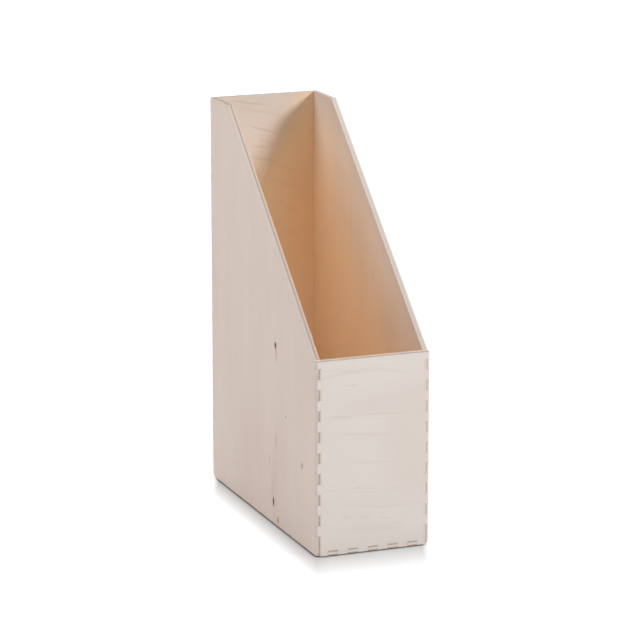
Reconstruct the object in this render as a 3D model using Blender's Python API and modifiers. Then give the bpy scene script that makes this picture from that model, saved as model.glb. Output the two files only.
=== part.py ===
"""Open-topped magazine file made of five finger-jointed birch plywood panels.

Metres, +Z up. The origin is the centre of the base, on the surface that the file stands on, and the low front
faces -Y. Every panel is cut oversize on its outer side and sanded back to one rounded block, so that the fingers
end flush with the faces that they pass through.
"""

from math import radians

import bmesh
import bpy

# Overall sizes
WIDTH = 0.090
DEPTH = 0.230
HEIGHT = 0.310
FRONT_HEIGHT = 0.150
BACK_RUN = 0.042  # level stretch along the top of each side, ahead of the slope

# Sheet and joints
PLY = 0.004
FINGER = 0.008
FOOT_FINGER = 0.016  # longest finger of each side, standing on the table at every corner
GLUE_GAP = 0.0003  # clearance all round a finger

# Finish
EDGE_RADIUS = 0.0012
EDGE_SEGMENTS = 3

OVERSIZE = EDGE_RADIUS  # sanded off the outer faces and the finger ends
INNER_HALF_WIDTH = WIDTH / 2 - PLY - GLUE_GAP
INNER_HALF_DEPTH = DEPTH / 2 - PLY - GLUE_GAP
WELD_DISTANCE = GLUE_GAP / 100

SIDE = "side"
END = "end"

FACING_X = (radians(90), 0.0, radians(90))  # outline drawn in (depth, height)
FACING_Y = (radians(90), 0.0, 0.0)  # outline drawn in (across, height)
FACING_Z = (0.0, 0.0, 0.0)  # outline drawn in (across, depth)

VENEER_ROUGHNESS = 0.55
SIDE_COLOUR = (0.66, 0.57, 0.48)
FRONT_COLOUR = (0.70, 0.62, 0.54)
BACK_COLOUR = (0.64, 0.52, 0.40)
BOTTOM_COLOUR = (0.62, 0.50, 0.39)


def clear_scene():
    """Remove every object that the file was opened with."""
    for existing in list(bpy.data.objects):
        bpy.data.objects.remove(existing, do_unlink=True)


def new_collection(name):
    """Add a collection to the scene."""
    collection = bpy.data.collections.new(name)
    bpy.context.scene.collection.children.link(collection)
    return collection


def joint_bands(edge_height):
    """Split an upright corner from the foot up into (low, high, piece whose finger fills the band)."""
    bands = []
    low, high, owner = 0.0, FOOT_FINGER, SIDE
    while edge_height - high > FINGER / 2:
        bands.append((low, high, owner))
        low, high = high, high + FINGER
        owner = END if owner == SIDE else SIDE
    bands.append((low, edge_height, owner))
    return bands


def jointed_edge(edge_height, owner, tip, root):
    """Outline points (reach, height) up one corner: the owner's fingers reach tip, the slots between them root."""
    points = []
    for low, high, band_owner in joint_bands(edge_height):
        is_finger = band_owner == owner
        reach = tip if is_finger else root
        inset = GLUE_GAP / 2 if is_finger else -GLUE_GAP / 2
        points.append((reach, low + inset))
        points.append((reach, high - inset))
    points[0] = (points[0][0], -OVERSIZE)
    points[-1] = (points[-1][0], edge_height)
    return points


def bottom_finger_centres():
    """Places across the width of the fingers that the bottom puts through the front and the back."""
    pitch = 2 * FINGER
    room = 2 * INNER_HALF_WIDTH - 2 * FINGER
    count = int(room / pitch) + 1
    return [(index - (count - 1) / 2) * pitch for index in range(count)]


def side_outline():
    """Side in (depth, height): jointed front, slope, level top and jointed back."""
    tip = DEPTH / 2 + OVERSIZE
    front = [(-reach, z) for reach, z in jointed_edge(FRONT_HEIGHT, SIDE, tip, INNER_HALF_DEPTH)]
    back = jointed_edge(HEIGHT, SIDE, tip, INNER_HALF_DEPTH)
    slope_foot = (-INNER_HALF_DEPTH, FRONT_HEIGHT)
    slope_head = (DEPTH / 2 - BACK_RUN, HEIGHT)
    if front[-1] != slope_foot:
        front.append(slope_foot)
    return front + [slope_head] + back[::-1]


def end_outline(edge_height):
    """Front or back in (across, height), with slots for the bottom's fingers in its lower edge."""
    right = jointed_edge(edge_height, END, WIDTH / 2 + OVERSIZE, INNER_HALF_WIDTH)
    left = [(-x, z) for x, z in reversed(right)]
    half_slot = (FINGER + GLUE_GAP) / 2
    slot_top = PLY + GLUE_GAP
    lower = []
    for centre in bottom_finger_centres():
        lower.append((centre - half_slot, -OVERSIZE))
        lower.append((centre - half_slot, slot_top))
        lower.append((centre + half_slot, slot_top))
        lower.append((centre + half_slot, -OVERSIZE))
    return right + left + lower


def bottom_outline():
    """Bottom in (across, depth), with fingers at the front and the back."""
    tip = DEPTH / 2 + OVERSIZE
    half_finger = (FINGER - GLUE_GAP) / 2
    front = [(-INNER_HALF_WIDTH, -INNER_HALF_DEPTH)]
    for centre in bottom_finger_centres():
        front.append((centre - half_finger, -INNER_HALF_DEPTH))
        front.append((centre - half_finger, -tip))
        front.append((centre + half_finger, -tip))
        front.append((centre + half_finger, -INNER_HALF_DEPTH))
    front.append((INNER_HALF_WIDTH, -INNER_HALF_DEPTH))
    back = [(-x, -y) for x, y in front]
    return front + back


def veneer_material(name, colour):
    """Sanded, clear-oiled birch veneer."""
    material = bpy.data.materials.new(name)
    material.use_nodes = True
    shader = material.node_tree.nodes["Principled BSDF"]
    shader.inputs["Base Color"].default_value = (*colour, 1.0)
    shader.inputs["Roughness"].default_value = VENEER_ROUGHNESS
    shader.inputs["Metallic"].default_value = 0.0
    return material


def sanding_block(collection):
    """Block with the file's finished outer faces and rounded edges; its own top stays above the rim."""
    height = HEIGHT + 2 * EDGE_RADIUS
    bpy.ops.mesh.primitive_cube_add(size=1.0, location=(0.0, 0.0, height / 2))
    block = bpy.context.object
    block.name = "sanding_block"
    block.scale = (WIDTH, DEPTH, height)
    bpy.ops.object.transform_apply(location=False, rotation=False, scale=True)
    rounding = block.modifiers.new("rounded_edges", "BEVEL")
    rounding.limit_method = "NONE"
    rounding.width = EDGE_RADIUS
    rounding.segments = EDGE_SEGMENTS
    for owner in list(block.users_collection):
        owner.objects.unlink(block)
    collection.objects.link(block)
    block.hide_render = True
    block.display_type = "WIRE"
    return block


def panel_blank(name, outline, location, rotation, collection):
    """Cut an outline from sheet that is oversize on its outer face, as a closed mesh."""
    curve = bpy.data.curves.new(name + "_outline", "CURVE")
    curve.dimensions = "2D"
    curve.fill_mode = "BOTH"
    curve.extrude = (PLY + OVERSIZE) / 2
    spline = curve.splines.new("POLY")
    spline.points.add(len(outline) - 1)
    for point, (first, second) in zip(spline.points, outline):
        point.co = (first, second, 0.0, 1.0)
    spline.use_cyclic_u = True
    drawing = bpy.data.objects.new(name + "_outline", curve)
    drawing.location = location
    drawing.rotation_euler = rotation
    collection.objects.link(drawing)
    bpy.context.view_layer.update()

    evaluated = drawing.evaluated_get(bpy.context.evaluated_depsgraph_get())
    mesh = bpy.data.meshes.new_from_object(evaluated)
    mesh.name = name
    welded = bmesh.new()
    welded.from_mesh(mesh)
    bmesh.ops.remove_doubles(welded, verts=welded.verts, dist=WELD_DISTANCE)
    bmesh.ops.recalc_face_normals(welded, faces=welded.faces)
    welded.to_mesh(mesh)
    welded.free()

    blank = bpy.data.objects.new(name, mesh)
    blank.matrix_world = drawing.matrix_world
    collection.objects.link(blank)
    bpy.data.objects.remove(drawing, do_unlink=True)
    return blank


def add_panel(name, outline, location, rotation, colour, block, base, collection):
    """Make one panel, sand it to the block's faces and stand it on the base."""
    panel = panel_blank(name, outline, location, rotation, collection)
    panel.data.materials.clear()
    panel.data.materials.append(veneer_material(name + "_veneer", colour))
    panel.parent = base
    sanding = panel.modifiers.new("sanded_flush", "BOOLEAN")
    sanding.operation = "INTERSECT"
    sanding.solver = "MANIFOLD"  # the exact one leaves cracks along the roots of the slots, which lie in one line
    sanding.object = block
    return panel


def build_magazine_file():
    """Model the five panels at their places."""
    clear_scene()
    parts = new_collection("magazine_file")
    cutters = new_collection("magazine_file_cutters")
    block = sanding_block(cutters)
    base = bpy.data.objects.new("magazine_file_base", None)
    parts.objects.link(base)

    sheet_middle = (PLY - OVERSIZE) / 2  # inward from a finished outer face to the middle of its blank
    across = WIDTH / 2 - sheet_middle
    along = DEPTH / 2 - sheet_middle
    shared = {"block": block, "base": base, "collection": parts}
    add_panel("left_side", side_outline(), (-across, 0.0, 0.0), FACING_X, SIDE_COLOUR, **shared)
    add_panel("right_side", side_outline(), (across, 0.0, 0.0), FACING_X, SIDE_COLOUR, **shared)
    add_panel("front_panel", end_outline(FRONT_HEIGHT), (0.0, -along, 0.0), FACING_Y, FRONT_COLOUR, **shared)
    add_panel("back_panel", end_outline(HEIGHT), (0.0, along, 0.0), FACING_Y, BACK_COLOUR, **shared)
    add_panel("bottom_panel", bottom_outline(), (0.0, 0.0, sheet_middle), FACING_Z, BOTTOM_COLOUR, **shared)


build_magazine_file()
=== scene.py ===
"""Studio picture of the magazine file: five finger-jointed birch plywood panels on a white floor.

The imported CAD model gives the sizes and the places. Each panel is cut from a blank sheet, slotted for its
finger joints, sanded flush with the outside of the file and dressed in three-ply birch. Metres, +Z up, with
the low front to -Y.
"""

import logging
import math
from dataclasses import dataclass
from enum import Enum
from functools import partial

import bmesh
import bpy
from bpy.types import ID, Material, Node, NodeSocket, NodeTree, Object
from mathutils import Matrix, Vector


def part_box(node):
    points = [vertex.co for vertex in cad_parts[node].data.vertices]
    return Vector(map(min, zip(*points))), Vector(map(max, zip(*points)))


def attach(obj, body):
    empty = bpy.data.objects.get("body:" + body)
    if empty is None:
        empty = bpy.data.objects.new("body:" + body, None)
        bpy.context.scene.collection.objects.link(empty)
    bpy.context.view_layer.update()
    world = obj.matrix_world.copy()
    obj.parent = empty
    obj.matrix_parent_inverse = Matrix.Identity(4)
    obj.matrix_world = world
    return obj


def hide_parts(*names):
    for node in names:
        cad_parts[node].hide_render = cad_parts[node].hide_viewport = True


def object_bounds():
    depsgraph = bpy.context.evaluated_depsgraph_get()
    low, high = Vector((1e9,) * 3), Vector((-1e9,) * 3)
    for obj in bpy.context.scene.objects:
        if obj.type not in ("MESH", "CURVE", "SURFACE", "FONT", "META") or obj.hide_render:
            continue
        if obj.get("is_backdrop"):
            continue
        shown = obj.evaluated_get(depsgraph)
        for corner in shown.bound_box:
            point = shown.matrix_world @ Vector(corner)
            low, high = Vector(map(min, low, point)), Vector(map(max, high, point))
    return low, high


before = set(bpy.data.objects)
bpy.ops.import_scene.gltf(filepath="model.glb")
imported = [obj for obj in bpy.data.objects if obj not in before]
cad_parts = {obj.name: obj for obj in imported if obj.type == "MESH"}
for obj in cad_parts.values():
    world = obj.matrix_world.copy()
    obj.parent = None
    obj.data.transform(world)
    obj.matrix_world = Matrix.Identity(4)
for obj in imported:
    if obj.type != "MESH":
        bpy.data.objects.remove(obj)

LOG = logging.getLogger("magazine_file")

MM = 0.001
PHOTO_PIXELS = 640
BODY = "root"
BLACK = (0.0, 0.0, 0.0, 1.0)
WHITE = (1.0, 1.0, 1.0, 1.0)

Pair = tuple[float, float]
Inputs = dict[str | int, object]


class Axis(Enum):
    """Axes of the frame, named for what the file measures along them."""

    WIDTH = 0
    DEPTH = 1
    HEIGHT = 2


class Ply(Enum):
    """Plies of a sheet, counted from its outer face."""

    OUTER = 0
    CORE = 1
    INNER = 2


class MarkKind(Enum):
    """What a mark in a veneer is."""

    KNOT = "knot"
    STREAK = "streak"
    PATCH = "patch"


class Noise(Enum):
    """Noises in the plywood: an offset that keeps each apart from the others, and its octaves."""

    WAVER = (3.0, 2.0)
    BREAKS = (11.0, 1.0)
    MARKS = (17.0, 1.0)
    CLOUDS = (29.0, 2.0)
    FIBRES = (47.0, 3.0)


# Axes along, across and through a sheet, by the way that its face grain runs
UPRIGHT = (Axis.HEIGHT, Axis.DEPTH, Axis.WIDTH)
CROSSWISE = (Axis.WIDTH, Axis.HEIGHT, Axis.DEPTH)
LENGTHWISE = (Axis.DEPTH, Axis.WIDTH, Axis.HEIGHT)


def linear(hex_colour: str) -> tuple[float, float, float, float]:
    """Turn an sRGB colour into the linear values that sockets take.

    Args:
        hex_colour: Colour as "#RRGGBB".

    Returns:
        Red, green, blue and alpha.
    """
    channels = []
    for start in (1, 3, 5):
        value = int(hex_colour[start:start + 2], 16) / 255.0
        channels.append(value / 12.92 if value <= 0.04045 else ((value + 0.055) / 1.055) ** 2.4)
    return (*channels, 1.0)


def add_node(tree: NodeTree, kind: str, inputs: Inputs | None = None, **settings: object) -> Node:
    """Add a node with its settings and links.

    Args:
        tree: Node tree that gets the node.
        kind: Blender's type name of the node.
        inputs: What goes into each socket, by the socket's name or number. A node stands for its first
            output in use, a socket is linked, and anything else is set as the value.
        settings: Properties of the node.

    Returns:
        The new node.
    """
    node = tree.nodes.new(kind)
    for name, value in settings.items():
        setattr(node, name, value)
    for key, value in (inputs or {}).items():
        if isinstance(key, int):
            socket = node.inputs[key]
        else:
            socket = next(entry for entry in node.inputs if entry.enabled and entry.name == key)
        if isinstance(value, Node):
            value = next(output for output in value.outputs if output.enabled)
        if isinstance(value, NodeSocket):
            tree.links.new(value, socket)
        else:
            socket.default_value = value
    return node


def add_object(name: str, data: ID) -> Object:
    """Put a new object into the scene, at the origin.

    Args:
        name: Name of the object.
        data: Its mesh, lamp or lens.

    Returns:
        The new object.
    """
    added = bpy.data.objects.new(name, data)
    bpy.context.scene.collection.objects.link(added)
    return added


def add_mesh(name: str, shape: bmesh.types.BMesh) -> Object:
    """Put a finished shape into the scene as a mesh object, and free the shape.

    Args:
        name: Name of the object and of its mesh.
        shape: Finished shape.

    Returns:
        The new object.
    """
    mesh = bpy.data.meshes.new(name)
    shape.to_mesh(mesh)
    shape.free()
    return add_object(name, mesh)


@dataclass(frozen=True)
class FileSizes:
    """Finished sizes of the file in metres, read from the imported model."""

    width: float
    depth: float
    height: float
    front_height: float
    ply: float
    back_run: float = 42.0 * MM  # level stretch along the top of each side, ahead of the slope
    edge_radius: float = 0.8 * MM  # rounding that the sanding leaves on the outer edges
    foot_wear: float = 3.0 * MM  # how far the four corners that it stands on are worn off

    @classmethod
    def from_frame(cls) -> "FileSizes":
        """Read the sizes from the boxes of the whole model and of two panels.

        Returns:
            The sizes.
        """
        low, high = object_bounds()
        side_low, side_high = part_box("left_side")
        front_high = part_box("front_panel")[1]
        span = high - low
        return cls(span.x, span.y, span.z, front_high.z, side_high.x - side_low.x)


@dataclass(frozen=True)
class Opening:
    """Mouth of the file from the side, in millimetres: a slope and the level stretch behind its head."""

    foot: Pair  # depth and height
    head: Pair

    @classmethod
    def of_sizes(cls, sizes: FileSizes) -> "Opening":
        """Find the slope of the sides.

        Args:
            sizes: Sizes of the file.

        Returns:
            The opening.
        """
        foot = (sizes.ply - sizes.depth / 2.0, sizes.front_height)
        head = (sizes.depth / 2.0 - sizes.back_run, sizes.height)
        return cls(tuple(value / MM for value in foot), tuple(value / MM for value in head))

    def inward(self) -> Vector:
        """Give the direction straight into the file from the slope."""
        return Vector((0.0, self.head[1] - self.foot[1], self.foot[0] - self.head[0])).normalized()


@dataclass(frozen=True)
class SlotRow:
    """A straight row of equal slots, in metres."""

    first: Vector
    step: Vector
    count: int
    size: Vector


@dataclass(frozen=True)
class FingerJoint:
    """Finger joint of every corner: the side's foot finger, then fingers of end panel and side in turn."""

    finger: float = 8.0 * MM
    foot: float = 16.0 * MM
    glue_line: float = 0.1 * MM  # drawn a little wider than the real film of glue, so that it shows
    overcut: float = 4.0 * MM  # how far a cutter runs out past the sheet
    cutter_sheets: float = 4.0  # thickness of a cutter, counted in sheets

    @property
    def pitch(self) -> float:
        """Give the way from one finger of a panel to its next."""
        return 2.0 * self.finger

    @property
    def slot(self) -> float:
        """Give the width of a slot, which takes a finger and its glue."""
        return self.finger + self.glue_line

    def finger_middle(self, place: int) -> float:
        """Give the height of a finger's middle, for its place above the foot, from 0 up."""
        return self.foot + (place + 0.5) * self.finger

    def finger_counts(self, edge_height: float) -> tuple[int, int]:
        """Count the fingers above the foot on an upright corner.

        Args:
            edge_height: Height of the lower of the two panels.

        Returns:
            Fingers of the end panel, and fingers of the side above its foot.
        """
        fingers = round((edge_height - self.foot) / self.finger)
        return (fingers + 1) // 2, fingers // 2

    def bottom_fingers(self, width: float) -> int:
        """Count the fingers that fit along the bottom's end, for its width."""
        return int((width - self.pitch) / self.pitch) + 1


class SlotCutter:
    """Geometry Nodes tree that cuts a row of slots out of a panel and gives it its material."""

    def __init__(self) -> None:
        """Build the tree: a line of cutter blocks is taken away from the panel."""
        self.tree = bpy.data.node_groups.new("finger_slot_row", "GeometryNodeTree")
        self.sockets: dict[str, str] = {}
        for name, kind in (
            ("Panel", "NodeSocketGeometry"),
            ("First Slot", "NodeSocketVector"),
            ("Step", "NodeSocketVector"),
            ("Slots", "NodeSocketInt"),
            ("Slot Size", "NodeSocketVector"),
            ("Plywood", "NodeSocketMaterial"),
        ):
            socket = self.tree.interface.new_socket(name, in_out="INPUT", socket_type=kind)
            self.sockets[name] = socket.identifier
        self.tree.interface.new_socket("Slotted Panel", in_out="OUTPUT", socket_type="NodeSocketGeometry")

        given = add_node(self.tree, "NodeGroupInput").outputs
        places = add_node(
            self.tree, "GeometryNodeMeshLine",
            {"Count": given["Slots"], "Start Location": given["First Slot"], "Offset": given["Step"]},
            mode="OFFSET", count_mode="TOTAL",
        )
        block = add_node(self.tree, "GeometryNodeMeshCube", {"Size": given["Slot Size"]})
        cutters = add_node(self.tree, "GeometryNodeInstanceOnPoints", {"Points": places, "Instance": block})
        solid_cutters = add_node(self.tree, "GeometryNodeRealizeInstances", {"Geometry": cutters})
        slotted = add_node(
            self.tree, "GeometryNodeMeshBoolean", {0: given["Panel"], 1: solid_cutters},
            operation="DIFFERENCE", solver="MANIFOLD",
        )
        whole = add_node(self.tree, "GeometryNodeRealizeInstances", {"Geometry": slotted})
        dressed = add_node(
            self.tree, "GeometryNodeSetMaterial", {"Geometry": whole, "Material": given["Plywood"]}
        )
        add_node(self.tree, "NodeGroupOutput", {0: dressed})

    def cut(self, panel: Object, row: SlotRow, plywood: Material) -> None:
        """Put one row of slots on a panel as a modifier.

        Args:
            panel: Blank or partly slotted panel.
            row: Places and sizes of the slots.
            plywood: Material that the panel gets.
        """
        modifier = panel.modifiers.new("finger_slots", "NODES")
        modifier.node_group = self.tree
        for name, value in (
            ("First Slot", tuple(row.first)),
            ("Step", tuple(row.step)),
            ("Slots", row.count),
            ("Slot Size", tuple(row.size)),
            ("Plywood", plywood),
        ):
            modifier[self.sockets[name]] = value


@dataclass(frozen=True)
class Sheet:
    """How a panel's sheet lies: the direction of its face grain and where its outer face is."""

    along: Axis  # direction of the face grain
    across: Axis
    through: Axis
    outer: float  # place of the outer face on the through axis, in metres
    inward: float  # 1 where the inside lies up that axis from the outer face, -1 where it lies down it
    seed: float


@dataclass(frozen=True)
class VeneerMark:
    """Knot, streak or mark of painted shade: an oval in millimetres along and across the grain."""

    along: float
    across: float
    half_length: float
    half_width: float
    darkness: float
    lean: float = 0.0  # how far it drifts across the grain for each millimetre along it
    bend: float = 0.0  # how far it curves across the grain, for each square millimetre along it
    kind: MarkKind = MarkKind.STREAK
    ply: Ply = Ply.OUTER


@dataclass(frozen=True)
class GrowthFigure:
    """Growth lines that rotary cutting leaves on a veneer, in millimetres across the grain."""

    period: float = 118.0  # the set of lines starts again after this
    lines: tuple[Pair, ...] = (
        (7.0, 0.5), (21.0, 0.8), (30.0, 0.4), (46.0, 0.9),
        (58.0, 0.5), (75.0, 0.7), (86.0, 0.4), (103.0, 0.8),
    )  # place and darkness of each line
    early_wood: float = 1.6  # soft side of a line
    late_wood: float = 0.6  # sharp side of a line
    waver: float = 8.0
    waver_length: float = 90.0
    tilt: float = 0.0  # climb of the lines across the grain for each millimetre along it
    break_size: Pair = (22.0, 6.0)  # patches that break the lines, along and across the grain
    break_noise: Pair = (0.4, 0.62)  # noise at which a line is faintest and is whole
    faintest: float = 0.1
    strength: float = 0.09


@dataclass(frozen=True)
class BirchPlywood:
    """Three-ply birch, sanded and left clear.

    Pale, slightly pink rotary-cut veneer with faint wavy growth lines and short flecks. The inside is
    painted pale at
    the rim and warming to honey further in: painted light, standing in for the warm light that bounces
    about inside the file while the rim takes the lamps' direct white light. The core is laid crosswise, and
    its end grain shows as a darker stripe along the edges.
    """

    face: str = "#EDDCD2"
    face_shade: str = "#E3D0C3"
    inner_rim: str = "#DAC8BC"
    inner_deep: str = "#F5DABC"
    growth_line: str = "#BE9C7C"
    core: str = "#DFCBBB"
    end_grain: str = "#A08F82"
    knot: str = "#4E2202"
    patch: str = "#F0BA78"  # colour of painted shade by the back's inside right corner, deeper and warmer as shade and bounced light make it
    veneer_end: float = 0.15  # how far the veneers darken to end grain where they are cut across
    veneer_end_facing: Pair = (0.3, 0.8)  # facing at which that begins and is full
    core_end: float = 0.68  # the same for the core
    core_end_facing: Pair = (0.3, 0.6)
    painted_rim_shade: float = 0.33  # painted shade on the up-facing edges round the opening: share of the colour left, in place of the strong overhead light on them
    painted_inner_rim_shade: float = 0.31  # the same painted shade for the plies at the inside
    painted_inner_rim_from: float = 1.5  # where those begin: 1.5 after the core, 0.5 before it
    # colour of painted warm bounce light on the inner plies of those edges
    painted_bounce_tint: str = "#FFFFFF"
    painted_rim_facing: Pair = (0.48, 0.97)  # facing up at which that painted shade begins and is full
    veneer: float = 1.2  # thickness of a face veneer in millimetres
    core_thickness: float = 1.6
    ply_seed_step: float = 37.0  # keeps the patterns of one ply apart from those of the next
    warm_start: float = 0.0  # how far in from the opening the painted warmth begins, in millimetres
    warm_depth: float = 92.0  # how much further in that painted warmth is full
    warm_patches: float = 28.0  # how far the clouds shift that change
    warm_lean: float = 0.0  # how much sooner it warms for each millimetre along the grain, so that it can follow the edge of a lamp's shadow
    cloud_size: Pair = (95.0, 28.0)  # along and across the grain, in millimetres
    fibre_size: Pair = (11.0, 0.9)  # real fibres are finer; drawn coarse enough to show
    fibre_noise: Pair = (0.3, 0.7)  # noise of the darkest and of the palest fibre
    fibre_tone: Pair = (0.988, 1.012)  # share of the colour that those two have
    fleck_size: Pair = (16.0, 3.6)
    fleck_radius: Pair = (0.16, 0.04)  # where a fleck ends and where it is full, in its size
    fleck_rarity: float = 0.6  # share of the places for a fleck that stay bare
    knot_halo: Pair = (0.0, 0.7)  # darkness of a knot where its brown halo begins and is full
    knot_heart: Pair = (0.25, 1.0)  # the same for its dark heart
    mark_full: float = 0.3  # share of a mark's oval that has its full darkness
    mark_waver: float = 3.0  # how far the streaks wander across the grain
    mark_waver_size: Pair = (24.0, 40.0)
    roughness: Pair = (0.5, 0.66)  # of the darkest and of the palest fibre
    ior: float = 1.5
    bump: float = 0.12
    bump_depth: float = 0.08 * MM


class PlywoodMaterial:
    """Node tree of one panel's plywood, solid right through the sheet so that the edges show the plies."""

    same_ply: float = 0.5  # plies are counted, so those that differ by less are one
    halfway_in: float = 0.5  # a face that looks further inward than this shows the inside
    noise_middle: float = 0.5

    def __init__(
        self, name: str, finish: BirchPlywood, sheet: Sheet, figure: GrowthFigure,
        marks: tuple[VeneerMark, ...], opening: Opening,
    ) -> None:
        """Start the material and lay the sheet's own coordinates.

        Args:
            name: Name of the material.
            finish: Colours and sizes of the plywood.
            sheet: How the panel's sheet lies.
            figure: Growth lines of its veneers.
            marks: Knots, streaks and patches of its own.
            opening: Mouth of the file.
        """
        self.finish = finish
        self.sheet = sheet
        self.figure = figure
        self.marks = marks
        self.opening = opening
        self.material = bpy.data.materials.new(name)
        self.material.use_nodes = True
        self.tree = self.material.node_tree
        self.tree.nodes.clear()

        coordinates = self.add("TexCoord").outputs
        self.place = self.add(
            "VectorMath", {0: coordinates["Object"], "Scale": 1.0 / MM}, operation="SCALE"
        )
        place = self.add("SeparateXYZ", {0: self.place}).outputs
        normal = self.add("SeparateXYZ", {0: coordinates["Normal"]}).outputs
        self.height = place[Axis.HEIGHT.value]
        self.along = place[sheet.along.value]
        self.across = place[sheet.across.value]
        self.facing_up = normal[Axis.HEIGHT.value]
        self.facing_in = self.add(
            "Math", {0: normal[sheet.through.value], 1: sheet.inward}, operation="MULTIPLY"
        )
        self.facing_along, self.facing_across = (
            self.add("Math", {0: normal[axis.value]}, operation="ABSOLUTE")
            for axis in (sheet.along, sheet.across)
        )
        from_face = self.add(
            "Math", {0: place[sheet.through.value], 1: sheet.outer / MM}, operation="SUBTRACT"
        )
        depth = self.add("Math", {0: from_face}, operation="ABSOLUTE")
        in_core, past_core = (
            self.add("Math", {0: depth, 1: limit}, operation="GREATER_THAN")
            for limit in (finish.veneer, finish.veneer + finish.core_thickness)
        )
        self.layer = self.add("Math", {0: in_core, 1: past_core}, operation="ADD")
        seed = self.add(
            "Math", {0: self.layer, 1: finish.ply_seed_step, 2: sheet.seed}, operation="MULTIPLY_ADD"
        )
        self.grain = self.add("CombineXYZ", {0: self.along, 1: self.across, 2: seed})

    def add(self, kind: str, inputs: Inputs | None = None, **settings: object) -> Node:
        """Add a shader node, its kind without the ShaderNode in front; the rest is as in add_node."""
        return add_node(self.tree, "ShaderNode" + kind, inputs, **settings)

    def stretched_noise(self, size: Pair, noise: Noise) -> Node:
        """Add noise that is drawn out along the grain.

        Args:
            size: Size of a patch along and across the grain, in millimetres.
            noise: Which of the noises it is.

        Returns:
            The noise node, 0 to 1.
        """
        length, width = size
        offset, octaves = noise.value
        place = self.add(
            "VectorMath",
            {0: self.grain, 1: (1.0 / length, 1.0 / width, 1.0), 2: (offset, offset, 0.0)},
            operation="MULTIPLY_ADD",
        )
        return self.add("TexNoise", {"Vector": place, "Scale": 1.0, "Detail": octaves})

    def growth_lines(self) -> Node:
        """Draw the growth lines: each darkens slowly over the early wood and stops short at the late wood.

        Returns:
            Node that gives the darkness of the lines, 0 to 1.
        """
        figure = self.figure
        wander = self.stretched_noise((figure.waver_length, figure.waver_length / 2.0), Noise.WAVER)
        shift = self.add(
            "Math", {0: wander, 1: 2.0 * figure.waver, 2: -figure.waver}, operation="MULTIPLY_ADD"
        )
        tilted = self.add(
            "Math", {0: self.along, 1: -figure.tilt, 2: self.across}, operation="MULTIPLY_ADD"
        )
        wavy = self.add("Math", {0: tilted, 1: shift}, operation="ADD")
        turns = self.add("Math", {0: wavy, 1: figure.period}, operation="DIVIDE")
        phase = self.add("Math", {0: turns}, operation="FRACT")
        ramp = self.add("ValToRGB", {0: phase})
        stops = ramp.color_ramp.elements
        for stop in stops:
            stop.color = BLACK
        for line, darkness in figure.lines:
            for edge, value in ((-figure.early_wood, 0.0), (0.0, darkness), (figure.late_wood, 0.0)):
                stop = stops.new((line + edge) / figure.period)
                stop.color = (value, value, value, 1.0)
        breaks = self.stretched_noise(figure.break_size, Noise.BREAKS)
        broken, whole = figure.break_noise
        unbroken = self.add(
            "MapRange",
            {"Value": breaks, "From Min": broken, "From Max": whole,
             "To Min": figure.faintest, "To Max": 1.0},
            interpolation_type="SMOOTHSTEP",
        )
        return self.add("Math", {0: ramp, 1: unbroken}, operation="MULTIPLY")

    def flecks(self) -> Node:
        """Scatter short dark flecks along the grain.

        Returns:
            Node that gives the darkness of the flecks, 0 to 1.
        """
        length, width = self.finish.fleck_size
        place = self.add(
            "VectorMath", {0: self.grain, 1: (1.0 / length, 1.0 / width, 1.0)}, operation="MULTIPLY"
        )
        cells = self.add("TexVoronoi", {"Vector": place, "Scale": 1.0})
        end, full = self.finish.fleck_radius
        shape = self.add(
            "MapRange",
            {"Value": cells.outputs["Distance"], "From Min": end, "From Max": full},
            interpolation_type="SMOOTHSTEP",
        )
        chance = self.add("SeparateColor", {0: cells.outputs["Color"]})
        chosen = self.add(
            "MapRange",
            {"Value": chance.outputs[0], "From Min": self.finish.fleck_rarity, "From Max": 1.0},
        )
        return self.add("Math", {0: shape, 1: chosen}, operation="MULTIPLY")

    def own_marks(self, kind: MarkKind) -> Node | None:
        """Draw the panel's own marks of one kind.

        Args:
            kind: Knots, streaks or painted shade.

        Returns:
            Node that gives the darkness of the marks, 0 to 1, or None where there are none.
        """
        marks = [mark for mark in self.marks if mark.kind is kind]
        if not marks:
            return None
        finish = self.finish
        across = self.across
        if kind is MarkKind.STREAK:
            wander = self.stretched_noise(finish.mark_waver_size, Noise.MARKS)
            shift = self.add(
                "Math", {0: wander, 1: finish.mark_waver, 2: -finish.mark_waver / 2.0},
                operation="MULTIPLY_ADD",
            )
            across = self.add("Math", {0: across, 1: shift}, operation="ADD")
        darkest = 0.0
        for mark in marks:
            way = self.add("Math", {0: self.along, 1: mark.along}, operation="SUBTRACT")
            square = self.add("Math", {0: way, 1: way}, operation="MULTIPLY")
            straight = self.add("Math", {0: square, 1: -mark.bend, 2: across}, operation="MULTIPLY_ADD")
            flat = self.add("CombineXYZ", {0: self.along, 1: straight})
            offset = self.add(
                "Mapping",
                {"Vector": flat, "Location": (mark.along, mark.across, 0.0),
                 "Rotation": (0.0, 0.0, math.atan(mark.lean)),
                 "Scale": (mark.half_length, mark.half_width, 1.0)},
                vector_type="TEXTURE",
            )
            radius = self.add("VectorMath", {0: offset}, operation="LENGTH").outputs["Value"]
            oval = self.add(
                "MapRange",
                {"Value": radius, "From Min": 1.0, "From Max": finish.mark_full, "To Max": mark.darkness},
                interpolation_type="SMOOTHSTEP",
            )
            its_ply = self.add(
                "Math", {0: self.layer, 1: float(mark.ply.value), 2: self.same_ply},
                operation="COMPARE",
            )
            there = self.add("Math", {0: oval, 1: its_ply}, operation="MULTIPLY")
            darkest = self.add("Math", {0: darkest, 1: there}, operation="MAXIMUM")
        return darkest

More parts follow.
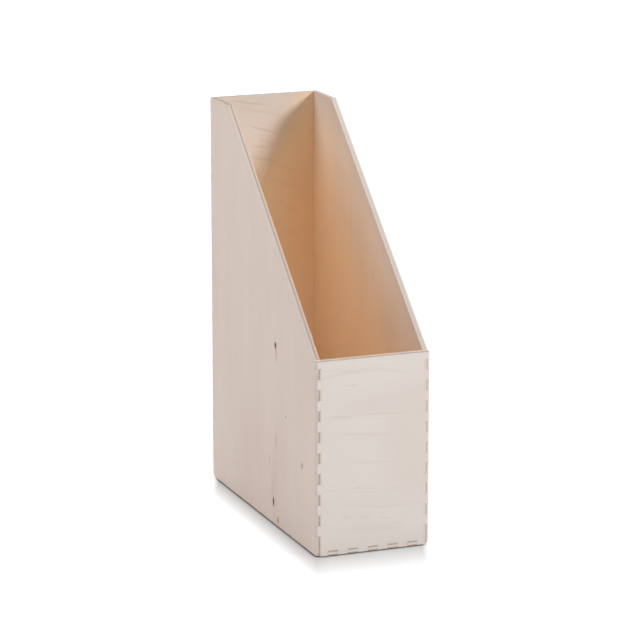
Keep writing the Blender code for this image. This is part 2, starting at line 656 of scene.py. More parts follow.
    def end_grain(self, core: Node) -> Node:
        """Find where fibres are cut across: the veneers' run along the sheet's grain, the core's across it.

        Args:
            core: Node that is 1 in the core and 0 in the veneers.

        Returns:
            Node that gives the darkness of the end grain, 0 on long grain.
        """
        finish = self.finish
        veneer_end, core_end = (
            self.add(
                "MapRange",
                {"Value": facing, "From Min": start, "From Max": full, "To Max": darkness},
                interpolation_type="SMOOTHSTEP",
            )
            for facing, (start, full), darkness in (
                (self.facing_along, finish.veneer_end_facing, finish.veneer_end),
                (self.facing_across, finish.core_end_facing, finish.core_end),
            )
        )
        return self.add("Mix", {"Factor": core, "A": veneer_end, "B": core_end})

    def warmth(self, clouds: Node) -> Node:
        """Find how far the painted warmth goes: none at the rim, where direct light falls, full some way
        into the file, standing in for warm bounced light.

        Args:
            clouds: Soft patches that break up the change.

        Returns:
            Node that gives the warmth, 0 to 1.
        """
        finish = self.finish
        inward = self.opening.inward()
        foot = Vector((0.0, *self.opening.foot))
        along_inward = self.add("VectorMath", {0: self.place, 1: tuple(inward)}, operation="DOT_PRODUCT")
        below_slope = self.add(
            "Math", {0: along_inward.outputs["Value"], 1: foot.dot(inward)}, operation="SUBTRACT"
        )
        below_top = self.add("Math", {0: self.opening.head[1], 1: self.height}, operation="SUBTRACT")
        below = self.add("Math", {0: below_slope, 1: below_top}, operation="MINIMUM")
        leaning = self.add("Math", {0: self.along, 1: finish.warm_lean, 2: below}, operation="MULTIPLY_ADD")
        centred = self.add("Math", {0: clouds, 1: self.noise_middle}, operation="SUBTRACT")
        patchy = self.add(
            "Math", {0: centred, 1: finish.warm_patches, 2: leaning}, operation="MULTIPLY_ADD"
        )
        full = finish.warm_start + finish.warm_depth
        return self.add("MapRange", {"Value": patchy, "From Min": finish.warm_start, "From Max": full})

    def painted_rim_shading(self) -> Node:
        """Paint shade on the up-facing edges round the opening, on the outer plies and further in, in place
        of the strong overhead light on them; the inner plies also get a painted warm bounce tint.

        Returns:
            Node that gives the share of the colour that is left, white away from those edges.
        """
        finish = self.finish
        inner_ply = self.add("Math", {0: self.layer, 1: finish.painted_inner_rim_from}, operation="GREATER_THAN")
        outer_light = (finish.painted_rim_shade, finish.painted_rim_shade, finish.painted_rim_shade, 1.0)
        inner_light = tuple(finish.painted_inner_rim_shade * channel for channel in linear(finish.painted_bounce_tint))
        light_left = self.add(
            "Mix", {"Factor": inner_ply, "A": outer_light, "B": inner_light}, data_type="RGBA"
        )
        start, full = finish.painted_rim_facing
        looking_up = self.add("MapRange", {"Value": self.facing_up, "From Min": start, "From Max": full})
        return self.add("Mix", {"Factor": looking_up, "A": WHITE, "B": light_left}, data_type="RGBA")

    def build(self) -> Material:
        """Join the patterns into colour, roughness and bump.

        Returns:
            The finished material.
        """
        finish = self.finish
        clouds = self.stretched_noise(finish.cloud_size, Noise.CLOUDS)
        fibres = self.stretched_noise(finish.fibre_size, Noise.FIBRES)
        figure = self.add("Math", {0: self.growth_lines(), 1: self.flecks()}, operation="MAXIMUM")
        figure = self.add("Math", {0: figure, 1: self.figure.strength}, operation="MULTIPLY")

        # the inside's colour is painted warmth: pale at the rim where direct light falls, honey further in
        # where bounced light warms it
        outer, inner = (
            self.add("Mix", {"Factor": share, "A": linear(start), "B": linear(full)}, data_type="RGBA")
            for share, start, full in (
                (clouds, finish.face, finish.face_shade),
                (self.warmth(clouds), finish.inner_rim, finish.inner_deep),
            )
        )
        inside = self.add("Math", {0: self.facing_in, 1: self.halfway_in}, operation="GREATER_THAN")
        colour = self.add("Mix", {"Factor": inside, "A": outer, "B": inner}, data_type="RGBA")
        core = self.add(
            "Math", {0: self.layer, 1: float(Ply.CORE.value), 2: self.same_ply}, operation="COMPARE"
        )
        for share, over in (
            (figure, finish.growth_line), (core, finish.core), (self.end_grain(core), finish.end_grain),
        ):
            colour = self.add("Mix", {"Factor": share, "A": colour, "B": linear(over)}, data_type="RGBA")
        # painted shade on the up-facing edges of the upright panels
        if self.sheet.through is not Axis.HEIGHT:
            colour = self.add("VectorMath", {0: colour, 1: self.painted_rim_shading()}, operation="MULTIPLY")
        knots = self.own_marks(MarkKind.KNOT)
        as_given = (0.0, 1.0)
        # marks of painted shade, then streaks and knots, laid over the colour
        for marks, (start, full), over in (
            (self.own_marks(MarkKind.PATCH), as_given, finish.patch),
            (self.own_marks(MarkKind.STREAK), as_given, finish.growth_line),
            (knots, finish.knot_halo, finish.growth_line),
            (knots, finish.knot_heart, finish.knot),
        ):
            if marks is not None:
                share = self.add("MapRange", {"Value": marks, "From Min": start, "From Max": full})
                colour = self.add(
                    "Mix", {"Factor": share, "A": colour, "B": linear(over)}, data_type="RGBA"
                )

        dark, pale = finish.fibre_noise
        tone, roughness = (
            self.add(
                "MapRange",
                {"Value": fibres, "From Min": dark, "From Max": pale, "To Min": least, "To Max": most},
            )
            for least, most in (finish.fibre_tone, finish.roughness)
        )
        colour = self.add("VectorMath", {0: colour, 1: tone}, operation="MULTIPLY")
        height = self.add("Math", {0: fibres, 1: figure}, operation="SUBTRACT")
        bump = self.add("Bump", {"Height": height, "Strength": finish.bump, "Distance": finish.bump_depth})
        shader = self.add(
            "BsdfPrincipled",
            {"Base Color": colour, "Roughness": roughness, "Normal": bump, "IOR": finish.ior},
        )
        self.add("OutputMaterial", {"Surface": shader})
        return self.material


def plain_mesh(source: Object, name: str) -> Object:
    """Turn an object with modifiers into a plain mesh object and remove the original.

    Args:
        source: Object whose modifiers are finished.
        name: Name of the new object and of its mesh.

    Returns:
        The plain object, at the origin.
    """
    bpy.context.view_layer.update()
    evaluated = source.evaluated_get(bpy.context.evaluated_depsgraph_get())
    mesh = bpy.data.meshes.new_from_object(evaluated)
    mesh.name = name
    piece = add_object(name, mesh)
    bpy.data.objects.remove(source, do_unlink=True)
    return piece


@dataclass
class SandingBlock:
    """Outside of the glued file with its edges rounded: every panel is sanded back to it."""

    sizes: FileSizes
    height: float
    segments: int = 6
    profile: float = 0.5  # Blender's value for a round bevel

    def build(self) -> Object:
        """Make the block: the corners that it stands on are worn off, then every edge is rounded.

        Returns:
            The block, which is only a cutter.
        """
        sizes = self.sizes
        shape = bmesh.new()
        bmesh.ops.create_cube(shape, size=1.0)
        bmesh.ops.scale(shape, vec=(sizes.width, sizes.depth, self.height), verts=shape.verts)
        bmesh.ops.translate(shape, vec=(0.0, 0.0, self.height / 2.0), verts=shape.verts)
        feet = [corner for corner in shape.verts if corner.co.z < self.height / 2.0]
        bmesh.ops.bevel(
            shape, geom=feet, offset=sizes.foot_wear, segments=1, affect="VERTICES", profile=self.profile
        )
        bmesh.ops.bevel(
            shape, geom=shape.edges[:], offset=sizes.edge_radius, segments=self.segments, affect="EDGES",
            profile=self.profile,
        )
        bmesh.ops.recalc_face_normals(shape, faces=shape.faces)
        return add_mesh("sanding_block", shape)


@dataclass
class Panel:
    """One plywood panel of the file: a blank, its rows of slots, and the sanding of its outside."""

    name: str
    node: str
    sizes: FileSizes
    joint: FingerJoint
    sheet: Sheet
    finish: BirchPlywood
    figure: GrowthFigure = GrowthFigure()
    marks: tuple[VeneerMark, ...] = ()

    @property
    def reach(self) -> float:
        """Give how far a slot reaches in, for a neighbour's sheet and its glue."""
        return self.sizes.ply + self.joint.glue_line

    @property
    def cutter_thickness(self) -> float:
        """Give the thickness of a cutter that passes right through the sheet."""
        return self.joint.cutter_sheets * self.sizes.ply

    def outline(self) -> list[Pair]:
        """Give the blank's outline on the two axes of its sheet, oversize where it is sanded."""
        raise NotImplementedError

    def outline_axes(self) -> tuple[Axis, Axis]:
        """Give the two axes that the outline is drawn on."""
        return tuple(axis for axis in Axis if axis != self.sheet.through)

    def slot_rows(self) -> list[SlotRow]:
        """Give the rows of slots that its neighbours' fingers fill."""
        raise NotImplementedError

    def sanded_height(self) -> float:
        """Give the height up to which it is sanded: past the rim, so that only the outside is touched."""
        return self.sizes.height + 2.0 * self.sizes.edge_radius

    def blank(self) -> Object:
        """Cut the outline from a sheet that is oversize on its outer face.

        Returns:
            A closed prism.
        """
        first, second = self.outline_axes()
        through = self.sheet.through.value
        over = self.sizes.edge_radius
        shape = bmesh.new()
        corners = []
        for across, up in self.outline():
            corner = Vector()
            corner[first.value] = across
            corner[second.value] = up
            corner[through] = self.sheet.outer - self.sheet.inward * over
            corners.append(shape.verts.new(corner))
        face = shape.faces.new(corners)
        grown = bmesh.ops.extrude_face_region(shape, geom=[face])
        moved = [item for item in grown["geom"] if isinstance(item, bmesh.types.BMVert)]
        inward = Vector()
        inward[through] = self.sheet.inward * (self.sizes.ply + over)
        bmesh.ops.translate(shape, vec=inward, verts=moved)
        bmesh.ops.recalc_face_normals(shape, faces=shape.faces)
        return add_mesh(self.name + "_blank", shape)

    def build(self, cutter: SlotCutter) -> Object:
        """Slot and sand the panel, and dress it in plywood.

        Args:
            cutter: Tree that cuts the slots.

        Returns:
            The finished piece, riding on the file's only body.
        """
        plywood = PlywoodMaterial(
            "birch_plywood_" + self.node, self.finish, self.sheet, self.figure, self.marks,
            Opening.of_sizes(self.sizes),
        ).build()
        blank = self.blank()
        for row in self.slot_rows():
            cutter.cut(blank, row, plywood)
        block = SandingBlock(self.sizes, self.sanded_height()).build()
        sanding = blank.modifiers.new("sanded_flush", "BOOLEAN")
        sanding.operation = "INTERSECT"
        sanding.solver = "MANIFOLD"
        sanding.object = block
        piece = plain_mesh(blank, self.name)
        bpy.data.objects.remove(block, do_unlink=True)
        piece.data.materials.clear()
        piece.data.materials.append(plywood)
        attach(piece, BODY)
        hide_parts(self.node)
        return piece


@dataclass
class SidePanel(Panel):
    """Tall side with the sloping front edge."""

    def outline(self) -> list[Pair]:
        """Draw the side: front, slope, level top and back.

        Returns:
            Corners in depth and height.
        """
        sizes = self.sizes
        over = sizes.edge_radius
        half = sizes.depth / 2.0
        return [
            (-half - over, -over),
            (-half - over, sizes.front_height),
            (self.reach - half, sizes.front_height),
            (half - sizes.back_run, sizes.height),
            (half + over, sizes.height),
            (half + over, -over),
        ]

    def slot_rows(self) -> list[SlotRow]:
        """Place the slots for the fingers of the front and of the back.

        Returns:
            One row for each.
        """
        joint = self.joint
        size = Vector((self.cutter_thickness, self.reach + joint.overcut, joint.slot))
        middle = self.sizes.depth / 2.0 - self.reach + size.y / 2.0
        rows = []
        for edge_height, facing in ((self.sizes.front_height, -1.0), (self.sizes.height, 1.0)):
            first = Vector((self.sheet.outer, facing * middle, joint.finger_middle(0)))
            count = joint.finger_counts(edge_height)[0]
            rows.append(SlotRow(first, Vector((0.0, 0.0, joint.pitch)), count, size))
        return rows


@dataclass
class EndPanel(Panel):
    """Front or back between the sides, which the bottom's fingers pass through as well."""

    edge_height: float = 0.0

    def outline(self) -> list[Pair]:
        """Draw the end panel.

        Returns:
            Corners in width and height.
        """
        over = self.sizes.edge_radius
        half = self.sizes.width / 2.0 + over
        top = self.edge_height + over
        return [(-half, -over), (half, -over), (half, top), (-half, top)]

    def sanded_height(self) -> float:
        """Give the height of its level rim, whose outer edge is rounded as well."""
        return self.edge_height

    def slot_rows(self) -> list[SlotRow]:
        """Place the slots for the fingers of both sides, for their feet and for the bottom's fingers.

        Returns:
            Two rows for each side and one for the bottom.
        """
        joint = self.joint
        outer = self.sheet.outer
        thick = self.cutter_thickness
        cut = self.reach + joint.overcut
        foot_top = joint.foot + joint.glue_line / 2.0
        rows = []
        for facing in (-1.0, 1.0):
            middle = facing * (self.sizes.width / 2.0 - self.reach + cut / 2.0)
            first = Vector((middle, outer, joint.finger_middle(1)))
            count = joint.finger_counts(self.edge_height)[1]
            size = Vector((cut, thick, joint.slot))
            rows.append(SlotRow(first, Vector((0.0, 0.0, joint.pitch)), count, size))
            foot_size = Vector((cut, thick, foot_top + joint.overcut))
            foot = Vector((middle, outer, foot_top - foot_size.z / 2.0))
            rows.append(SlotRow(foot, Vector(), 1, foot_size))
        fingers = joint.bottom_fingers(self.sizes.width - 2.0 * self.reach)
        first = Vector((-(fingers - 1) * joint.pitch / 2.0, outer, self.reach - cut / 2.0))
        size = Vector((joint.slot, thick, cut))
        rows.append(SlotRow(first, Vector((joint.pitch, 0.0, 0.0)), fingers, size))
        return rows


@dataclass
class BottomPanel(Panel):
    """Floor of the file, between the sides, with fingers through the front and the back."""

    def outline(self) -> list[Pair]:
        """Draw the bottom.

        Returns:
            Corners in width and depth.
        """
        half_width = self.sizes.width / 2.0 - self.reach
        half_depth = self.sizes.depth / 2.0 + self.sizes.edge_radius
        return [
            (-half_width, -half_depth),
            (half_width, -half_depth),
            (half_width, half_depth),
            (-half_width, half_depth),
        ]

    def slot_rows(self) -> list[SlotRow]:
        """Place the slots between its fingers.

        Returns:
            One row at the front and one at the back.
        """
        joint = self.joint
        gaps = joint.bottom_fingers(self.sizes.width - 2.0 * self.reach) + 1
        size = Vector((joint.slot, self.reach + joint.overcut, self.cutter_thickness))
        middle = self.sizes.depth / 2.0 - self.reach + size.y / 2.0
        rows = []
        for facing in (-1.0, 1.0):
            first = Vector((-(gaps - 1) * joint.pitch / 2.0, facing * middle, 0.0))
            rows.append(SlotRow(first, Vector((joint.pitch, 0.0, 0.0)), gaps, size))
        return rows


@dataclass
class MagazineFile:
    """The whole file: two sides, front, back and bottom."""

    sizes: FileSizes
    joint: FingerJoint = FingerJoint()

    def left_side(self) -> Panel:
        """Lay out the left side, with pin knots in its outer veneer.

        Returns:
            The panel.
        """
        knot = partial(VeneerMark, kind=MarkKind.KNOT)
        marks = (
            knot(142.4, -29.0, 3.8, 3.0, 1.0),
            knot(137.6, -30.2, 11.0, 2.4, 0.35, 0.2),
            knot(148.5, -28.6, 7.0, 2.2, 0.1),
            knot(17.6, -23.9, 5.6, 2.6, 1.0, 0.1),
            knot(28.0, -21.0, 9.0, 3.0, 0.12),
            knot(5.4, -33.6, 4.4, 2.1, 0.68),
            knot(62.4, -84.7, 4.0, 2.2, 0.54),
            knot(62.0, -84.5, 8.0, 2.0, 0.16),
            knot(67.3, -29.6, 7.0, 2.2, 0.24),
            knot(50.2, -16.4, 6.0, 1.8, 0.22),
            knot(91.5, -50.4, 1.7, 1.7, 0.42),
            knot(100.0, 73.0, 3.0, 2.0, 0.12),
            knot(26.7, 55.9, 3.0, 2.0, 0.14),
            knot(8.0, 49.3, 3.0, 2.0, 0.12),
            knot(11.2, 37.8, 3.0, 2.0, 0.12),
            VeneerMark(30.0, -26.0, 48.0, 13.0, 0.2),
            VeneerMark(66.0, -31.0, 20.0, 6.0, 0.16),
            VeneerMark(24.0, 10.0, 80.0, 95.0, 0.09),
        )
        return SidePanel(
            "left_side_plywood", "left_side", self.sizes, self.joint,
            Sheet(*UPRIGHT, outer=-self.sizes.width / 2.0, inward=1.0, seed=1.0),
            BirchPlywood(
                inner_deep="#F8E8D8", painted_rim_shade=0.28, painted_inner_rim_shade=0.325, painted_bounce_tint="#FFE9D4",
            ),
            marks=marks,
        )

    def right_side(self) -> Panel:
        """Lay out the right side, with soft streaks in its inner veneer and two broad marks of painted
        shade on its inside.

        Returns:
            The panel.
        """
        inner_veneer_mark = partial(VeneerMark, ply=Ply.INNER)
        marks = (
            inner_veneer_mark(234.0, 106.0, 40.0, 3.0, 0.1),
            inner_veneer_mark(220.0, 31.7, 34.0, 2.4, 0.09),
            inner_veneer_mark(187.0, -13.6, 11.0, 2.6, 0.12),
            # painted shade: two broad darker marks over the lower middle and front of the inside, where the
            # lamps light it more than they should
            inner_veneer_mark(140.0, -76.0, 80.0, 66.0, 0.17),
            inner_veneer_mark(118.0, 4.0, 62.0, 54.0, 0.14),
        )
        return SidePanel(
            "right_side_plywood", "right_side", self.sizes, self.joint,
            Sheet(*UPRIGHT, outer=self.sizes.width / 2.0, inward=-1.0, seed=5.0),
            BirchPlywood(
                face="#EBE0D8", face_shade="#E3D6CC", inner_rim="#DBC9BD", inner_deep="#FCDCB6",
                core="#E2D9D1", painted_rim_shade=0.41, painted_inner_rim_shade=0.38, core_end=0.4, warm_depth=80.0,
            ),
            marks=marks,
        )

    def front(self) -> Panel:
        """Lay out the low front, with its clearest growth lines as streaks.

        Returns:
            The panel.
        """
        marks = (
            VeneerMark(42.0, 85.0, 52.0, 70.0, 0.12),
            VeneerMark(18.0, 112.0, 60.0, 13.0, 0.1, -0.02),
            VeneerMark(-10.0, 140.3, 58.0, 2.2, 0.09, bend=-0.0043),
            VeneerMark(-18.0, 130.0, 8.0, 1.3, 0.12, -0.05),
            VeneerMark(-26.0, 106.0, 16.0, 1.6, 0.16, -0.01),
            VeneerMark(14.0, 105.2, 40.0, 1.7, 0.17, -0.07),
            VeneerMark(2.0, 90.2, 40.0, 1.7, 0.14, -0.1),
            VeneerMark(8.0, 68.4, 40.0, 1.9, 0.11, bend=0.005),
            VeneerMark(-12.0, 50.0, 6.0, 1.3, 0.13, -0.1),
            VeneerMark(-1.5, 49.0, 6.0, 1.3, 0.1, -0.1),
            VeneerMark(20.0, 46.6, 7.0, 1.3, 0.1, -0.1),
            VeneerMark(20.0, 33.4, 62.0, 2.0, 0.09, bend=0.0027),
            VeneerMark(-22.0, 28.7, 6.0, 1.3, 0.12, -0.1),
            VeneerMark(-6.5, 27.0, 7.0, 1.3, 0.11, -0.1),
            VeneerMark(10.0, 25.0, 7.0, 1.3, 0.11, -0.1),
            VeneerMark(2.0, 17.0, 40.0, 3.0, 0.07, -0.07),
        )
        return EndPanel(
            "front_plywood", "front_panel", self.sizes, self.joint,
            Sheet(*CROSSWISE, outer=-self.sizes.depth / 2.0, inward=1.0, seed=9.0),
            # painted shade on the rounded top arris, and a paler painted warm line on the inner plies of
            # its top edge
            BirchPlywood(
                face="#E8DFD9", face_shade="#E4D9D2", veneer_end=0.0, painted_rim_shade=0.34, painted_inner_rim_shade=0.68,
                painted_inner_rim_from=0.5, painted_bounce_tint="#FFEADA", painted_rim_facing=(0.05, 0.5), core_end=0.1,
            ),
            GrowthFigure(waver=5.0, waver_length=40.0, tilt=-0.09), marks, self.sizes.front_height,
        )

    def back(self) -> Panel:
        """Lay out the tall back, with slanting streaks in its inner veneer and painted shade towards its
        inside right corner.

        Returns:
            The panel.
        """
        inner_veneer_mark = partial(VeneerMark, ply=Ply.INNER)
        marks = (
            inner_veneer_mark(-15.0, 304.2, 22.0, 1.6, 0.22, -0.15),
            inner_veneer_mark(-4.0, 296.2, 26.0, 1.6, 0.12, -0.28),
            inner_veneer_mark(-3.0, 282.2, 18.0, 1.5, 0.24, -0.34),
            inner_veneer_mark(-3.0, 268.3, 12.0, 1.6, 0.2, -0.14),
            inner_veneer_mark(3.0, 271.0, 14.0, 1.6, 0.14, -0.38),
            inner_veneer_mark(-4.0, 259.0, 16.0, 1.6, 0.2, -0.26),
            inner_veneer_mark(16.0, 250.0, 18.0, 2.2, 0.1, -0.4),
            inner_veneer_mark(18.0, 236.0, 18.0, 2.2, 0.08, -0.45),
            inner_veneer_mark(20.0, 218.0, 16.0, 2.2, 0.08, -0.5),
            inner_veneer_mark(22.0, 196.0, 14.0, 2.2, 0.07, -0.5),
            # painted shade: a darker, warmer oval by the inside right corner, standing in for the shade and
            # bounced light there
            VeneerMark(46.0, 238.0, 44.0, 112.0, 0.36, kind=MarkKind.PATCH, ply=Ply.INNER),
        )
        return EndPanel(
            "back_plywood", "back_panel", self.sizes, self.joint,
            Sheet(*CROSSWISE, outer=self.sizes.depth / 2.0, inward=-1.0, seed=13.0),
            # the back's painted warmth leans so that it follows the edge of the key lamp's shadow on its
            # inside
            BirchPlywood(
                inner_rim="#E0D3C7", inner_deep="#FDDFBA", veneer_end=0.0, warm_start=31.0, warm_depth=42.0,
                warm_lean=1.5, warm_patches=14.0, painted_rim_shade=0.4, painted_inner_rim_shade=0.4,
            ),
            GrowthFigure(waver=14.0, waver_length=60.0), marks, self.sizes.height,
        )

    def bottom(self) -> Panel:
        """Lay out the bottom, whose finger ends show in the front.

        Returns:
            The panel.
        """
        return BottomPanel(
            "bottom_plywood", "bottom_panel", self.sizes, self.joint,
            Sheet(*LENGTHWISE, outer=0.0, inward=1.0, seed=17.0),
            BirchPlywood(core="#E9DCD2", veneer_end=0.6),
        )

    def build(self) -> list[Object]:
        """Make every panel.

        Returns:
            The five pieces.
        """
        cutter = SlotCutter()
        panels = (self.left_side(), self.right_side(), self.front(), self.back(), self.bottom())
        return [panel.build(cutter) for panel in panels]


@dataclass(frozen=True)
class Softbox:
    """Square studio lamp, aimed at the file."""

    name: str
    direction: tuple[float, float, float]  # from the file to the lamp
    distance: float
    size: float
    level: float  # light that it alone throws on a surface facing it; at 1 a colour renders as written
    glare: bool = True  # False behind a polarising sheet, which keeps its glare off the level edges

    def watts(self) -> float:
        """Give the power that throws the level at the distance."""
        return self.level * (math.pi * self.distance) ** 2


@dataclass(frozen=True)
class FloorShadow:
    """Soft shadow that the file leaves on the white floor.

    A broad lamp above and behind throws it a little way forward, deeper beside the tall side than in front
    of the low front. A thin dark line stays where the lower edges touch the floor.
    """

    back: Pair = (0.365, 0.931)  # direction on the floor, from the shadow's tip to the file
    reach: float = 50.0 * MM
    shade: str = "#4E2E00"  # colour that it goes towards: the wood beside it warms it
    front_depth: float = 0.41
    side_depth: float = 0.56
    corner_blend: float = 30.0 * MM  # over which the one depth goes over into the other
    end_blend: float = 16.0 * MM  # over which the shadow starts at its two ends
    contact_reach: float = 5.0 * MM
    contact_samples: int = 16
    contact: str = "#2E1A12"  # colour of the thin line
    contact_full: float = 0.46  # openness at which the line is full
    contact_front_end: float = 0.92  # openness at which it ends, in front of the front
    contact_side_end: float = 0.74  # the same beside the side

    def way_under(self, tree: NodeTree, sizes: FileSizes) -> tuple[Node, ...]:
        """Follow the shadow's direction from each place on the floor back to the file's footprint.

        Args:
            tree: Node tree of the floor.
            sizes: Sizes of the file.

        Returns:
            Nodes that give the way to the footprint, the way that is then under it, and how much later the
            left edge is met than the front edge.
        """
        place = add_node(tree, "ShaderNodeTexCoord").outputs["Object"]
        slowness = Vector((1.0 / self.back[0], 1.0 / self.back[1], 0.0))
        far_corner = Vector((sizes.width / 2.0 * slowness.x, sizes.depth / 2.0 * slowness.y, 0.0))
        crossings = []
        for corner in (-far_corner, far_corner):
            ways = add_node(
                tree, "ShaderNodeVectorMath", {0: place, 1: tuple(-slowness), 2: tuple(corner)},
                operation="MULTIPLY_ADD",
            )
            crossings.append(add_node(tree, "ShaderNodeSeparateXYZ", {0: ways}).outputs)
        entry, leave = crossings
        met = add_node(tree, "ShaderNodeMath", {0: entry["X"], 1: entry["Y"]}, operation="MAXIMUM")
        way = add_node(tree, "ShaderNodeMath", {0: met, 1: 0.0}, operation="MAXIMUM")
        left = add_node(tree, "ShaderNodeMath", {0: leave["X"], 1: leave["Y"]}, operation="MINIMUM")
        under = add_node(tree, "ShaderNodeMath", {0: left, 1: way}, operation="SUBTRACT")
        side_first = add_node(tree, "ShaderNodeMath", {0: entry["X"], 1: entry["Y"]}, operation="SUBTRACT")
        return way, under, side_first

    def white_left(self, tree: NodeTree, sizes: FileSizes) -> Node:
        """Add the shadow to the floor's tree.

        Args:
            tree: Node tree of the floor.
            sizes: Sizes of the file.

        Returns:
            Node that gives the colour that the shadow leaves of the floor's white.
        """
        way, under, side_first = self.way_under(tree, sizes)
        fade = add_node(
            tree, "ShaderNodeMapRange", {"Value": way, "From Max": self.reach, "To Min": 1.0, "To Max": 0.0}
        )
        cover = add_node(
            tree, "ShaderNodeMapRange", {"Value": under, "From Max": self.end_blend},
            interpolation_type="SMOOTHSTEP",
        )
        depth, line_end = (
            add_node(
                tree, "ShaderNodeMapRange",
                {"Value": side_first, "From Min": -self.corner_blend, "From Max": self.corner_blend,
                 "To Min": in_front, "To Max": beside},
            )
            for in_front, beside in (
                (self.front_depth, self.side_depth), (self.contact_front_end, self.contact_side_end),
            )
        )
        faded = add_node(tree, "ShaderNodeMath", {0: fade, 1: cover}, operation="MULTIPLY")
        dark = add_node(tree, "ShaderNodeMath", {0: faded, 1: depth}, operation="MULTIPLY")
        touching = add_node(
            tree, "ShaderNodeAmbientOcclusion", {"Distance": self.contact_reach},
            samples=self.contact_samples,
        )
        closeness = add_node(
            tree, "ShaderNodeMapRange",
            {"Value": touching.outputs["AO"], "From Min": self.contact_full, "From Max": line_end,
             "To Min": 1.0, "To Max": 0.0},
        )
        drawn = add_node(tree, "ShaderNodeMath", {0: closeness, 1: cover}, operation="MULTIPLY")
        soft, line = (
            add_node(
                tree, "ShaderNodeMix", {"Factor": share, "A": WHITE, "B": linear(over)}, data_type="RGBA"
            )
            for share, over in ((dark, self.shade), (drawn, self.contact))
        )
        return add_node(tree, "ShaderNodeVectorMath", {0: soft, 1: line}, operation="MULTIPLY")


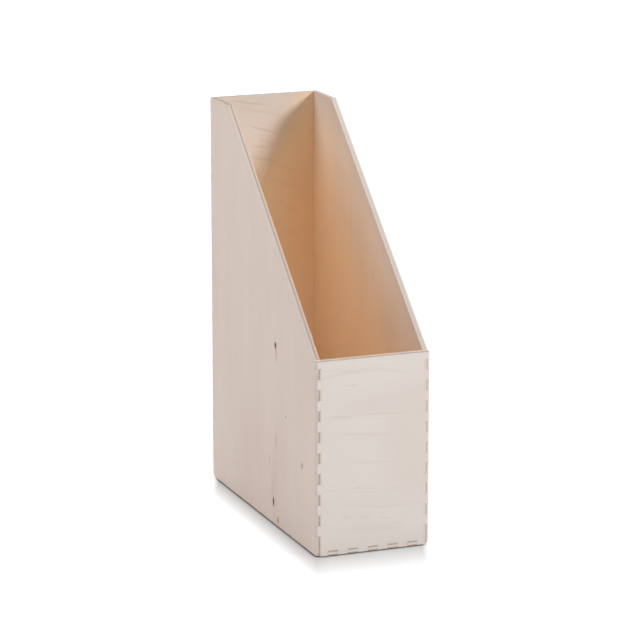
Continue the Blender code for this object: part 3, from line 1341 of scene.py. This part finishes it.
@dataclass
class Studio:
    """White studio: floor, world, softboxes and the camera of the photograph."""

    sizes: FileSizes
    focal_pixels: float = 3141.1
    yaw: float = 21.42  # camera turned to the right of straight back, in degrees
    pitch: float = 13.58  # camera tilted down, in degrees
    camera_place: tuple[float, float, float] = (-0.8557, -2.1880, 0.7191)
    sensor: float = 36.0
    floor_size: float = 12.0
    floor_colour: str = "#A0A0A0"
    floor_glow: float = 0.4  # light that comes up through the table top
    shadow: FloorShadow = FloorShadow()
    seen_glow: float = 0.88  # share of the seen white that no lamp has to light
    seen_lit: float = 0.14  # grey that the lamps light as well, so that their own shadows show a little
    white_from: float = 0.25  # the floor goes over to plain white from this far out
    white_beyond: float = 1.2
    aim: tuple[float, float, float] = (0.0, 0.0, 0.13)
    softboxes: tuple[Softbox, ...] = (
        Softbox("overhead_softbox", (0.0, 0.2, 0.98), 2.0, 1.3, 1.06),
        Softbox("key_softbox", (0.57, -0.66, 0.49), 1.8, 0.4, 0.67),
        Softbox("left_softbox", (-0.7, 0.2, 0.6), 2.0, 1.0, 0.36),
        Softbox("front_softbox", (-0.2, -0.8, 0.55), 2.0, 1.0, 0.045),
        Softbox("rear_softbox", (0.3, 0.9, 0.33), 2.2, 1.0, 0.28, glare=False),
    )

    def seen(self, tree: NodeTree) -> Node:
        """Find the rays that show the background: from the camera, a gloss or a clear piece.

        Args:
            tree: Node tree of the floor or of the world.

        Returns:
            Node that is 1 for those rays and 0 for the rest.
        """
        path = add_node(tree, "ShaderNodeLightPath").outputs
        rays = path["Is Camera Ray"]
        for other in ("Is Glossy Ray", "Is Transmission Ray"):
            rays = add_node(tree, "ShaderNodeMath", {0: rays, 1: path[other]}, operation="MAXIMUM")
        return rays

    def build_floor(self) -> None:
        """Lay the floor: white where it is seen, with the file's shadow left in it."""
        shape = bmesh.new()
        bmesh.ops.create_grid(shape, x_segments=1, y_segments=1, size=self.floor_size / 2.0)
        floor = add_mesh("studio_floor", shape)
        material = bpy.data.materials.new("white_studio_paper")
        material.use_nodes = True
        tree = material.node_tree
        tree.nodes.clear()
        place = add_node(tree, "ShaderNodeTexCoord").outputs["Object"]
        distance = add_node(tree, "ShaderNodeVectorMath", {0: place}, operation="LENGTH")
        white = add_node(
            tree, "ShaderNodeMapRange",
            {"Value": distance.outputs["Value"], "From Min": self.white_from, "From Max": self.white_beyond,
             "To Min": self.seen_glow},
            interpolation_type="SMOOTHSTEP",
        )
        white_left = self.shadow.white_left(tree, self.sizes)
        glow = add_node(tree, "ShaderNodeEmission", {"Color": white_left, "Strength": white})
        grey = add_node(
            tree, "ShaderNodeVectorMath", {0: white_left, "Scale": self.seen_lit}, operation="SCALE"
        )
        lit = add_node(tree, "ShaderNodeBsdfDiffuse", {"Color": grey})
        shown = add_node(tree, "ShaderNodeAddShader", {0: lit, 1: glow})
        paper = add_node(tree, "ShaderNodeBsdfDiffuse", {"Color": linear(self.floor_colour)})
        below = add_node(tree, "ShaderNodeEmission", {"Color": WHITE, "Strength": self.floor_glow})
        table = add_node(tree, "ShaderNodeAddShader", {0: paper, 1: below})
        mixed = add_node(tree, "ShaderNodeMixShader", {0: self.seen(tree), 1: table, 2: shown})
        add_node(tree, "ShaderNodeOutputMaterial", {"Surface": mixed})
        floor.data.materials.append(material)
        floor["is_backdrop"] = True

    def build_world(self) -> None:
        """Show the room as white, without light of its own."""
        world = bpy.data.worlds.new("studio_room")
        world.use_nodes = True
        tree = world.node_tree
        tree.nodes.clear()
        room = add_node(tree, "ShaderNodeBackground", {"Color": WHITE, "Strength": self.seen(tree)})
        add_node(tree, "ShaderNodeOutputWorld", {"Surface": room})
        bpy.context.scene.world = world

    def build_softboxes(self) -> None:
        """Hang the softboxes and turn them to the file."""
        for softbox in self.softboxes:
            lamp = bpy.data.lights.new(softbox.name, "AREA")
            lamp.shape = "SQUARE"
            lamp.size = softbox.size
            lamp.energy = softbox.watts()
            holder = add_object(softbox.name, lamp)
            outward = Vector(softbox.direction).normalized()
            holder.location = Vector(self.aim) + outward * softbox.distance
            holder.rotation_euler = outward.to_track_quat("Z", "Y").to_euler()
            holder.visible_glossy = softbox.glare

    def build_camera(self) -> None:
        """Stand the camera where the photograph was taken from."""
        lens = bpy.data.cameras.new("photo_camera")
        lens.sensor_fit = "HORIZONTAL"
        lens.sensor_width = self.sensor
        lens.lens = self.focal_pixels / PHOTO_PIXELS * self.sensor
        camera = add_object("photo_camera", lens)
        camera.location = self.camera_place
        camera.rotation_euler = (math.radians(90.0 - self.pitch), 0.0, math.radians(-self.yaw))
        bpy.context.scene.camera = camera

    def build(self) -> None:
        """Set up the whole studio."""
        self.build_camera()
        self.build_floor()
        self.build_world()
        self.build_softboxes()
        bpy.context.scene.view_settings.view_transform = "Standard"


def main() -> None:
    """Build the studio and the file, and report each piece."""
    logging.basicConfig(level=logging.INFO, format="%(name)s: %(message)s")
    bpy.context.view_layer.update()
    sizes = FileSizes.from_frame()
    Studio(sizes).build()
    for piece in MagazineFile(sizes).build():
        LOG.info("%s: %d faces", piece.name, len(piece.data.polygons))


if __name__ == "__main__":
    main()
